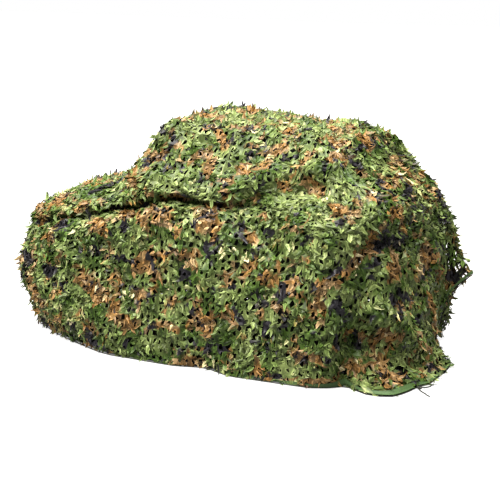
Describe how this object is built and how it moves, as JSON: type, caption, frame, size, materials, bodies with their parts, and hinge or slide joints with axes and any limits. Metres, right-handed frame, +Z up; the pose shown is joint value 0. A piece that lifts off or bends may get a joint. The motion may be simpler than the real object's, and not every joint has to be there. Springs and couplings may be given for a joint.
{
  "type": "camouflage netting",
  "caption": "Draped camouflage net with leaf-cut garnish, standing as a hollow cover with uneven folds, a corded hem and a knotted corner tie.",
  "frame": {"origin": "on the floor under the middle of the net's box, without the free tie ends", "axes": "+X along the length from the low front to the tall rear, +Y away from the near side, +Z up"},
  "size_m": [3.9486, 2.0774, 1.9413],
  "materials": {
    "garnish": "matt leaf-cut woodland cloth on string mesh",
    "edge_cord": "dark twisted cord, matt",
    "tie_cord": "dark twisted cord, matt, with frayed ends"
  },
  "bodies": {
    "root": {"net": "garnish", "edge_cord": "edge_cord", "tie_knot": "tie_cord", "tie_end_long": "tie_cord", "tie_end_short": "tie_cord"}
  },
  "joints": []
}
